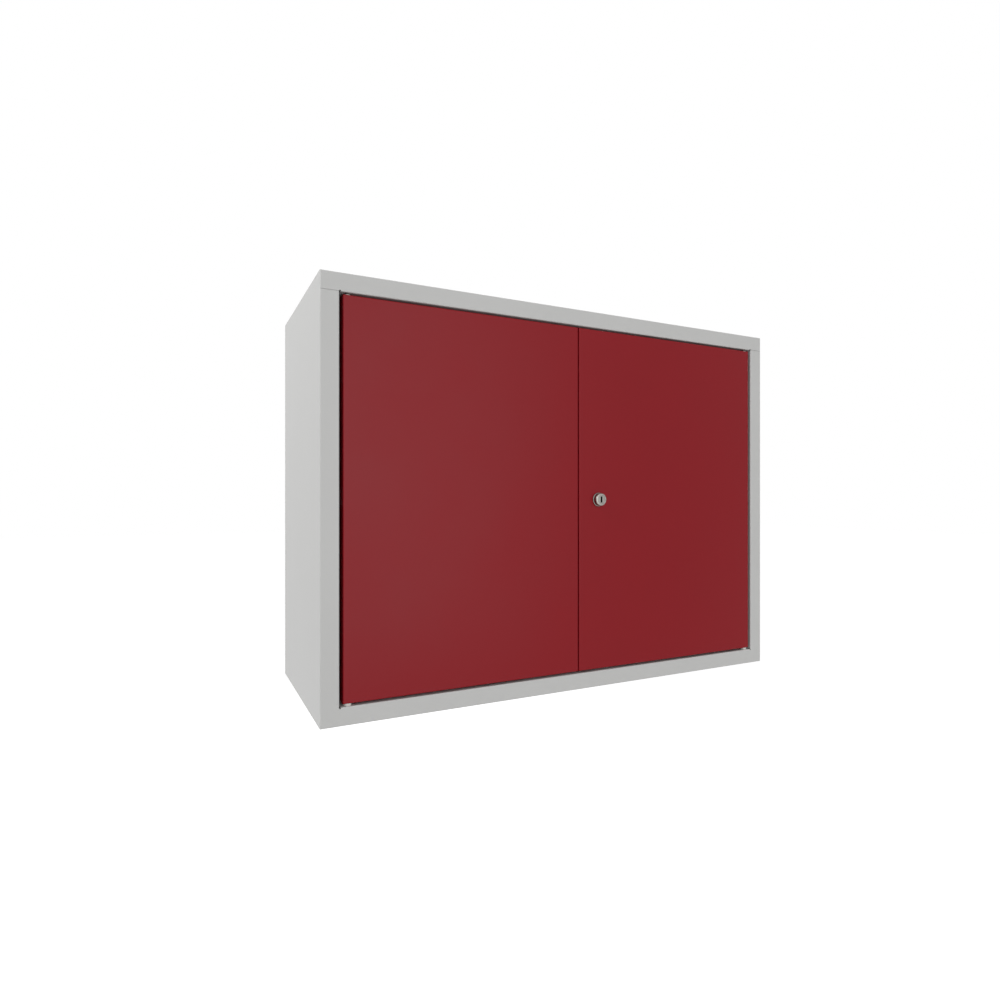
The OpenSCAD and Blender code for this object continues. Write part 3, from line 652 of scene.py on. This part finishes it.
def weld_mark(nodes, given):
    """Flat rim with a shallow cushion inside it, as an electrode leaves."""
    # The rim's path and its wire together reach half the diameter
    rim_r = given["Diameter"] * 0.42
    wire_r = given["Diameter"] * 0.08
    path = nodes.node("GeometryNodeCurvePrimitiveCircle", inputs={"Resolution": 16, "Radius": rim_r})
    wire = nodes.node("GeometryNodeCurvePrimitiveCircle", inputs={"Resolution": 6, "Radius": wire_r})
    ring = nodes.node("GeometryNodeCurveToMesh", inputs={"Curve": path, "Profile Curve": wire})
    flat = nodes.node("ShaderNodeCombineXYZ", inputs={"X": 1, "Y": 1, "Z": given["Height"] / wire_r})
    rim = nodes.node("GeometryNodeTransform", inputs={"Geometry": ring, "Scale": flat})
    ball = nodes.node("GeometryNodeMeshUVSphere", inputs={"Segments": 16, "Rings": 6, "Radius": rim_r})
    rise = given["Height"] * 0.45
    low = nodes.node("ShaderNodeCombineXYZ", inputs={"X": 1, "Y": 1, "Z": rise / rim_r})
    cushion = nodes.node("GeometryNodeTransform", inputs={"Geometry": ball, "Scale": low})
    return nodes.node("GeometryNodeJoinGeometry", inputs={"Geometry": [rim, cushion]})


def given_shape(nodes, given):
    """The geometry of the object handed in as Shape."""
    return nodes.node("GeometryNodeObjectInfo", inputs={"Object": given["Shape"]}, output="Geometry")


def set_on_points(name, tree, points, slot, **values):
    """Plain mesh of a tree's shape at each (point, facing) pair."""
    mesh = bpy.data.meshes.new(name)
    mesh.from_pydata([point for point, _ in points], [], [])
    facing = mesh.attributes.new("facing", "FLOAT_VECTOR", "POINT")
    for i, (_, direction) in enumerate(points):
        facing.data[i].vector = direction
    holder = bpy.data.objects.new(name, mesh)
    bpy.context.scene.collection.objects.link(holder)
    modifier = holder.modifiers.new(name, "NODES")
    modifier.node_group = tree
    sockets = [item for item in tree.interface.items_tree if item.in_out == "INPUT"]
    identifiers = {socket.name: socket.identifier for socket in sockets}
    for label, value in {"Material": finish(slot), **values}.items():
        modifier[identifiers[label]] = value
    result = evaluated_mesh(holder, name)
    bpy.data.objects.remove(holder)
    return result


def shape_on_points(name, shape, points, slot):
    """Plain mesh with a copy of the shape at each (point, facing) pair."""
    pattern = bpy.data.objects.new(f"{name}_pattern", shape)
    bpy.context.scene.collection.objects.link(pattern)
    tree = instance_tree(name, {"Shape": "NodeSocketObject"}, given_shape)
    result = set_on_points(name, tree, points, slot, Shape=pattern)
    bpy.data.objects.remove(pattern)
    return result


# Operators


class CABINET_OT_powder_coat(Operator):
    """Give the body, shelf and doors their powder coat"""

    bl_idname = "cabinet.powder_coat"
    bl_label = "Powder coat"

    def execute(self, context):
        coat_nodes(GREY, RED)
        return {"FINISHED"}


class CABINET_OT_hinges(Operator):
    """Finish the hinge pins and their nylon bushes"""

    bl_idname = "cabinet.hinges"
    bl_label = "Hinges"

    def execute(self, context):
        coat_nodes(NYLON, ZINC)
        return {"FINISHED"}


class CABINET_OT_fittings(Operator):
    """Round the edges of the plated plates, clips, stops, guides and bolts"""

    bl_idname = "cabinet.fittings"
    bl_label = "Plated fittings"

    NODES = ("wall_fixing_plates", "shelf_clips", "upper_door_stops", "lower_door_stops",
             "left_hinge_plates", "right_hinge_plates", "upper_bolt_guide", "lower_bolt_guide",
             "upper_bolt", "lower_bolt", "lock_cam", "lock_washer")

    def execute(self, context):
        edge = context.scene.cabinet_metal.edge
        for node in self.NODES:
            add_piece(f"{node}_plated", softened(node, edge), body_of(node), SLOT_OF[node], node)
        return {"FINISHED"}


class CABINET_OT_spot_welds(Operator):
    """Mark the spot welds on the rails, door stiffeners and fixing plates"""

    bl_idname = "cabinet.spot_welds"
    bl_label = "Spot welds"

    RAILS = ("left_front_rail", "left_rear_rail", "right_front_rail", "right_rear_rail")

    def heights(self, weld, low, high):
        """Even heights along a seam, no more than a pitch apart."""
        first, last = low + weld.end, high - weld.end
        count = ceil((last - first) / weld.pitch)
        return [first + (last - first) * i / count for i in range(count + 1)]

    def rail_welds(self, weld, node):
        low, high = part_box(node)
        inward = 1 if low.x < 0 else -1
        foot_x = (low.x if inward > 0 else high.x) + inward * weld.sheet
        for y in (low.y + weld.rail_foot, high.y - weld.rail_foot):
            for z in self.heights(weld, low.z, high.z):
                yield (foot_x, y, z), (inward, 0, 0)

    def stiffener_welds(self, weld, node):
        low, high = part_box(node)
        for x in (low.x + weld.stiffener_foot, high.x - weld.stiffener_foot):
            for z in self.heights(weld, low.z, high.z):
                yield (x, low.y + weld.sheet, z), (0, 1, 0)

    def plate_welds(self, weld):
        low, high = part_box("wall_fixing_plates")
        near, far = weld.plate_edge, weld.plate - weld.plate_edge
        xs = [low.x + near, low.x + far, high.x - far, high.x - near]
        zs = [low.z + near, low.z + far, high.z - far, high.z - near]
        return [((x, low.y, z), (0, -1, 0)) for x in xs for z in zs]

    def execute(self, context):
        weld = context.scene.cabinet_weld
        sizes = {"Diameter": "NodeSocketFloat", "Height": "NodeSocketFloat"}
        tree = instance_tree("spot_weld", sizes, weld_mark)
        rails = [mark for node in self.RAILS for mark in self.rail_welds(weld, node)]
        left = list(self.stiffener_welds(weld, "left_door_stiffener"))
        right = list(self.stiffener_welds(weld, "right_door_stiffener"))
        groups = (
            ("rail_spot_welds", rails, CARCASS, GREY),
            ("plate_spot_welds", self.plate_welds(weld), CARCASS, ZINC),
            ("left_door_spot_welds", left, LEFT_LEAF, RED),
            ("right_door_spot_welds", right, RIGHT_LEAF, RED),
        )
        for name, marks, body, slot in groups:
            mesh = set_on_points(name, tree, marks, slot, Diameter=weld.diameter, Height=weld.height)
            add_piece(name, mesh, body, slot)
        return {"FINISHED"}


class CABINET_OT_rivets(Operator):
    """Set the blind rivets that hold the bolt guides"""

    bl_idname = "cabinet.rivets"
    bl_label = "Guide rivets"

    def rivet(self, fitting):
        """Rivet along Z with the lip's back at 0, its dome on top and its upset end below."""
        shank_r, head_r = fitting.rivet_shank / 2, fitting.rivet_head / 2
        upset_r, hole_r = fitting.rivet_upset / 2, fitting.mandrel / 2
        bottom = -fitting.lip - fitting.rivet_dome
        seat = fitting.guide
        top = seat + fitting.rivet_dome
        hole_end = seat + fitting.rivet_dome * 0.55
        return turned("rivet", filleted([
            (0, bottom, 0),
            (upset_r, bottom, 0.7 * MM),
            (upset_r, -fitting.lip, 0.3 * MM),
            (shank_r, -fitting.lip, 0),
            (shank_r, seat, 0),
            (head_r, seat, 0),
            (head_r, seat + 0.5 * MM, 0.3 * MM),
            (hole_r * 2, top, 0.5 * MM),
            (hole_r, top, 0.15 * MM),
            (hole_r, hole_end, 0),
            (0, hole_end, 0),
        ]), steps=20)

    def execute(self, context):
        places = []
        for node in ("upper_bolt_guide", "lower_bolt_guide"):
            low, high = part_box(node)
            quarter = (high.z - low.z) / 4
            for z in (low.z + quarter, high.z - quarter):
                places.append((((low.x + high.x) / 2, DOOR_BACK, z), (0, 1, 0)))
        rivet = self.rivet(context.scene.cabinet_fitting)
        mesh = shape_on_points("guide_rivets", rivet, places, ZINC)
        add_piece("guide_rivets", mesh, LEFT_LEAF, ZINC, "bolt_guide_rivets")
        return {"FINISHED"}


class CABINET_OT_buffers(Operator):
    """Stick the rubber buffers on the door stops"""

    bl_idname = "cabinet.buffers"
    bl_label = "Door buffers"

    def execute(self, context):
        fitting = context.scene.cabinet_fitting
        low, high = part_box("door_buffers")
        thick = high.y - low.y
        radius = fitting.buffer / 2
        rim_r, dish_r = radius * 0.5, radius * 0.42
        stop_x = high.x - radius
        pad = turned("buffer", filleted([
            (0, 0, 0),
            (radius, 0, 0),
            (radius, thick, 0.8 * MM),
            (rim_r, thick, 0.4 * MM),
            (dish_r, thick - fitting.dish, 0.3 * MM),
            (0, thick - fitting.dish, 0),
        ]), steps=32)
        places = []
        for x in (-stop_x, stop_x):
            for z in (low.z + radius, high.z - radius):
                places.append(((x, high.y, z), (0, -1, 0)))
        mesh = shape_on_points("buffer_pads", pad, places, RUBBER)
        add_piece("buffer_pads", mesh, CARCASS, RUBBER, "door_buffers")
        return {"FINISHED"}


class CABINET_OT_bolt_knobs(Operator):
    """Turn the ball knobs of the slide bolts"""

    bl_idname = "cabinet.bolt_knobs"
    bl_label = "Bolt knobs"

    ARC_STEPS = 14

    def outline(self, fitting, ball_r, reach):
        """Half section of a knob: stem, collar and ball."""
        stem_r, collar_r = fitting.knob_stem / 2, fitting.knob_collar / 2
        centre = reach - ball_r
        neck = acos(collar_r / ball_r)
        foot = centre - ball_r * sin(neck) - fitting.collar_height
        points = [(0, 0), (stem_r, 0), (stem_r, foot), (collar_r, foot)]
        for step in range(self.ARC_STEPS):
            angle = -neck + (pi / 2 + neck) * step / self.ARC_STEPS
            points.append((ball_r * cos(angle), centre + ball_r * sin(angle)))
        return points + [(0, reach)]

    def execute(self, context):
        for end in ("upper", "lower"):
            low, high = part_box(f"{end}_bolt_knob")
            outline = self.outline(context.scene.cabinet_fitting, (high.z - low.z) / 2, high.y - low.y)
            mesh = turned(f"{end}_knob", outline, steps=36)
            axis = Vector(((low.x + high.x) / 2, low.y, (low.z + high.z) / 2))
            mesh.transform(Matrix.Translation(axis) @ Matrix.Rotation(radians(-90), 4, "X"))
            node = f"{end}_bolt_knob"
            add_piece(f"{end}_ball_knob", mesh, body_of(node), BLACK, node)
        return {"FINISHED"}


class CABINET_OT_lock_case(Operator):
    """Turn the lock's threaded case and its hexagon nut"""

    bl_idname = "cabinet.lock_case"
    bl_label = "Lock case"

    RINGS_PER_TURN = 8

    def case(self, lock):
        """Half section turned about the lock's axis, with a thread between two flats behind the door."""
        flange_r = (LOCK_HIGH.x - LOCK_LOW.x) / 2
        head_r = lock.head / 2
        face = LOCK_LOW.y - DOOR_FRONT
        end = LOCK_HIGH.y - DOOR_FRONT
        barrel_r = lock.barrel / 2
        plug_low, plug_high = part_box("lock_plug")
        rim_r = (plug_high.x - plug_low.x) / 2 + lock.play
        seat = plug_low.y - DOOR_FRONT + lock.rim + lock.clearance
        outline = filleted([
            (lock.bore / 2, end, 0),
            (lock.bore / 2, seat, 0),
            (rim_r, seat, 0),
            (rim_r, face, 0.25 * MM),
            (head_r, face, lock.crown),
            (head_r, -lock.flange, 0.45 * MM),
            (flange_r, -lock.flange, 0.5 * MM),
            (flange_r, 0, 0),
        ])
        rings = ceil(end / lock.thread * self.RINGS_PER_TURN)
        outline += [(barrel_r, end * i / rings) for i in range(rings + 1)]

        def form(radius, angle, height):
            if radius == barrel_r:
                wave = 0.5 + 0.5 * cos(angle + tau * height / lock.thread)
                radius -= lock.thread_depth * wave
                x = max(-lock.flats / 2, min(lock.flats / 2, radius * cos(angle)))
                return x, radius * sin(angle)
            return radius * cos(angle), radius * sin(angle)

        return turned("lock_case", outline, steps=72, form=form)

    def nut(self, lock):
        """Hexagon nut with bevelled corners, turned and then cut to its flats."""
        low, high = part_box("lock_nut")
        apothem = (high.z - low.z) / 2
        corner = apothem / cos(pi / 6)
        chamfer_r = apothem * 0.96
        front, back = low.y - DOOR_FRONT, high.y - DOOR_FRONT
        bevel = (corner - apothem) * 0.6
        bore = lock.barrel / 2 + lock.clearance
        outline = [
            (bore, front), (bore, back),
            (chamfer_r, back), (corner, back - bevel),
            (corner, front + bevel), (chamfer_r, front),
        ]

        def form(radius, angle, height):
            off_flat = angle % (pi / 3) - pi / 6
            radius = min(radius, apothem / cos(off_flat))
            return radius * cos(angle), radius * sin(angle)

        return turned("lock_nut", outline, steps=72, form=form)

    def execute(self, context):
        lock = context.scene.cabinet_lock
        for name, mesh, node in (
            ("lock_case", self.case(lock), "lock_housing"),
            ("lock_hexagon_nut", self.nut(lock), "lock_nut"),
        ):
            mesh.transform(INTO_LOCK)
            add_piece(name, mesh, RIGHT_LEAF, NICKEL, node)
        return {"FINISHED"}


class CABINET_OT_lock_plug(Operator):
    """Turn the lock's plug, cut its keyway and drive its cam screw"""

    bl_idname = "cabinet.lock_plug"
    bl_label = "Lock plug"

    def plug(self, lock):
        """Plug with a rim at its face, and at its end a square for the cam and a hole for the screw."""
        low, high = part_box("lock_plug")
        face, end = low.y - DOOR_FRONT, high.y - DOOR_FRONT
        rim_r = (high.x - low.x) / 2
        body_r = lock.bore / 2 - lock.play
        cam_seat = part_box("lock_cam")[0].y - DOOR_FRONT
        corner = lock.square / sqrt(2)
        screw_r = lock.screw / 2 + lock.clearance
        screw_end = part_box("lock_cam_screw")[0].y - DOOR_FRONT - 2 * lock.clearance
        outline = filleted([
            (0, face, 0),
            (rim_r, face, 0.35 * MM),
            (rim_r, face + lock.rim, 0),
            (body_r, face + lock.rim, 0),
            (body_r, cam_seat, 0),
            (corner, cam_seat, 0),
            (corner, end, 0),
            (screw_r, end, 0),
            (screw_r, screw_end, 0),
            (0, screw_end, 0),
        ])

        def form(radius, angle, height):
            if radius == corner:
                radius = lock.square / 2 / max(abs(cos(angle)), abs(sin(angle)))
            return radius * cos(angle), radius * sin(angle)

        return turned("lock_plug", outline, steps=64, form=form)

    def keyway(self, lock):
        """Cutter for the key's slot."""
        width, height, depth = lock.keyway
        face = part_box("lock_plug")[0].y - DOOR_FRONT
        return block((-width / 2, -height / 2, face - 1 * MM), (width / 2, height / 2, face + depth))

    def cam_screw(self, lock):
        """Pan head screw with a cross recess."""
        low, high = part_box("lock_cam_screw")
        tip, end = low.y - DOOR_FRONT, high.y - DOOR_FRONT
        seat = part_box("lock_cam")[1].y - DOOR_FRONT
        head_r = (high.x - low.x) / 2
        screw_r = lock.screw / 2
        bevel, crown, recess = 0.4 * MM, 1.4 * MM, 1.5 * MM
        outline = filleted([
            (0, tip, 0),
            (screw_r - bevel, tip, 0),
            (screw_r, tip + bevel, 0),
            (screw_r, seat, 0),
            (head_r, seat, 0),
            (head_r, end - crown, 0.3 * MM),
            (head_r * 0.72, end, 1.5 * MM),
            (0, end, 0),
        ])
        arm, blade = 2.5 * MM, 0.55 * MM
        deep, clear = end - recess, end + 1 * MM
        cross = [
            block((-arm, -blade, deep), (arm, blade, clear)),
            block((-blade, -arm, deep), (blade, arm, clear)),
        ]
        return carved(turned("lock_cam_screw", outline, steps=40), *cross)

    def execute(self, context):
        lock = context.scene.cabinet_lock
        for name, mesh, slot, node in (
            ("lock_key_plug", carved(self.plug(lock), self.keyway(lock)), NICKEL, "lock_plug"),
            ("cam_pan_screw", self.cam_screw(lock), ZINC, "lock_cam_screw"),
        ):
            mesh.transform(INTO_LOCK)
            add_piece(name, mesh, LOCK, slot, node)
        return {"FINISHED"}


class CABINET_OT_stage(Operator):
    """Set up the camera, the lamps, the floor and the white background"""

    bl_idname = "cabinet.stage"
    bl_label = "Studio"

    # Metres
    FLOOR_SIZE = 60
    # Greys of its faint clouds, and their size in metres
    FLOOR_GREYS, FLOOR_CLOUD = (0.60, 0.62), 0.4
    # Emission that lifts the floor to white where it is seen
    FLOOR_GLOW = 0.78
    # Name, place, aim and size of each lamp, in metres
    LAMPS = (
        ("side_lamp", (-2.6, -0.25, 1.9), (-0.4, -0.15, 0.0), (1.6, 1.6)),
        ("front_lamp", (0.15, -3.0, 0.30), (0.15, -0.3, 0.30), (2.3, 2.6)),
        ("back_lamp", (1.6, 2.6, 1.3), (0.2, -0.1, 0.0), (4.0, 4.0)),
    )

    def camera(self, scene, stage):
        lens = bpy.data.cameras.new("camera")
        lens.lens = stage.lens
        lens.shift_x = stage.shift
        lens.sensor_width = 36
        lens.clip_start = 0.01
        camera = bpy.data.objects.new("camera", lens)
        camera.location = stage.camera
        camera.rotation_euler = (radians(90), 0, -stage.turn)
        scene.collection.objects.link(camera)
        scene.camera = camera

    def lamp(self, scene, name, power, place, aim, size):
        light = bpy.data.lights.new(name, "AREA")
        light.energy = power
        light.shape = "RECTANGLE"
        light.size, light.size_y = size
        lamp = bpy.data.objects.new(name, light)
        lamp.location = place
        lamp.rotation_euler = (Vector(aim) - Vector(place)).to_track_quat("-Z", "Y").to_euler()
        scene.collection.objects.link(lamp)

    def seen(self, nodes):
        """1 for what is seen, also in a reflection or through glass, and 0 for what only gives light."""
        rays = ("Is Camera Ray", "Is Glossy Ray", "Is Transmission Ray")
        camera, glossy, through = (nodes.node("ShaderNodeLightPath", output=ray) for ray in rays)
        return nodes.math("MAXIMUM", camera, nodes.math("MAXIMUM", glossy, through))

    def floor(self, scene, stage):
        bm = bmesh.new()
        bmesh.ops.create_grid(bm, x_segments=1, y_segments=1, size=self.FLOOR_SIZE / 2,
                              matrix=Matrix.Translation((0, 0, -stage.floor_drop)))
        floor = bpy.data.objects.new("floor", mesh_from(bm, "floor"))
        scene.collection.objects.link(floor)
        pale = Finish("pale_floor", Roughness=0.9, Specular_IOR_Level=0.0)
        dark, light = ((grey, grey, grey, 1) for grey in self.FLOOR_GREYS)
        pale.feed("Base Color", pale.mix(dark, light, pale.noise(self.FLOOR_CLOUD)))
        pale.shader.inputs["Emission Strength"].default_value = 1
        glow = self.seen(pale) * self.FLOOR_GLOW
        pale.feed("Emission Color", pale.mix((0, 0, 0, 1), (1, 1, 1, 1), glow))
        floor.data.materials.append(pale.material)

    def sky(self, scene, stage):
        world = bpy.data.worlds.new("studio")
        world.use_nodes = True
        scene.world = world
        nodes = Nodes(world.node_tree)
        light = nodes.node("ShaderNodeBackground", inputs={"Color": (1, 1, 1, 1), "Strength": stage.sky})
        white = nodes.node("ShaderNodeBackground", inputs={"Color": (1, 1, 1, 1), "Strength": 1.0})
        shown = nodes.node("ShaderNodeMixShader", inputs={0: self.seen(nodes), 1: light, 2: white})
        nodes.link(shown, world.node_tree.nodes["World Output"].inputs["Surface"])

    def execute(self, context):
        scene = context.scene
        stage = scene.cabinet_stage
        scene.view_settings.view_transform = "Standard"
        self.camera(scene, stage)
        for name, place, aim, size in self.LAMPS:
            self.lamp(scene, name, getattr(stage, name), place, aim, size)
        self.floor(scene, stage)
        self.sky(scene, stage)
        return {"FINISHED"}


class CABINET_PT_build(Panel):
    """Steps and settings of the cabinet"""

    bl_label = "Wall cabinet"
    bl_space_type = "VIEW_3D"
    bl_region_type = "UI"
    bl_category = "Cabinet"

    def draw(self, context):
        for step in STEPS:
            self.layout.operator(step.bl_idname)
        for label, kind in SETTINGS.items():
            group = getattr(context.scene, label)
            box = self.layout.box()
            box.label(text=kind.__doc__)
            for name in kind.__annotations__:
                box.prop(group, name)


SETTINGS = {
    "cabinet_paint": PaintSettings,
    "cabinet_metal": MetalSettings,
    "cabinet_weld": WeldSettings,
    "cabinet_fitting": FittingSettings,
    "cabinet_lock": LockSettings,
    "cabinet_stage": StageSettings,
}
STEPS = (CABINET_OT_powder_coat, CABINET_OT_hinges, CABINET_OT_fittings, CABINET_OT_spot_welds,
         CABINET_OT_rivets, CABINET_OT_buffers, CABINET_OT_bolt_knobs, CABINET_OT_lock_case,
         CABINET_OT_lock_plug, CABINET_OT_stage)


def register():
    for kind in (*SETTINGS.values(), *STEPS, CABINET_PT_build):
        bpy.utils.register_class(kind)
    for label, kind in SETTINGS.items():
        setattr(bpy.types.Scene, label, PointerProperty(type=kind))


def unregister():
    for label in SETTINGS:
        delattr(bpy.types.Scene, label)
    for kind in (CABINET_PT_build, *reversed(STEPS), *reversed(SETTINGS.values())):
        bpy.utils.unregister_class(kind)


def main():
    register()
    bpy.ops.cabinet.powder_coat()
    bpy.ops.cabinet.hinges()
    bpy.ops.cabinet.fittings()
    bpy.ops.cabinet.spot_welds()
    bpy.ops.cabinet.rivets()
    bpy.ops.cabinet.buffers()
    bpy.ops.cabinet.bolt_knobs()
    bpy.ops.cabinet.lock_case()
    bpy.ops.cabinet.lock_plug()
    bpy.ops.cabinet.stage()


if __name__ == "__main__":
    main()
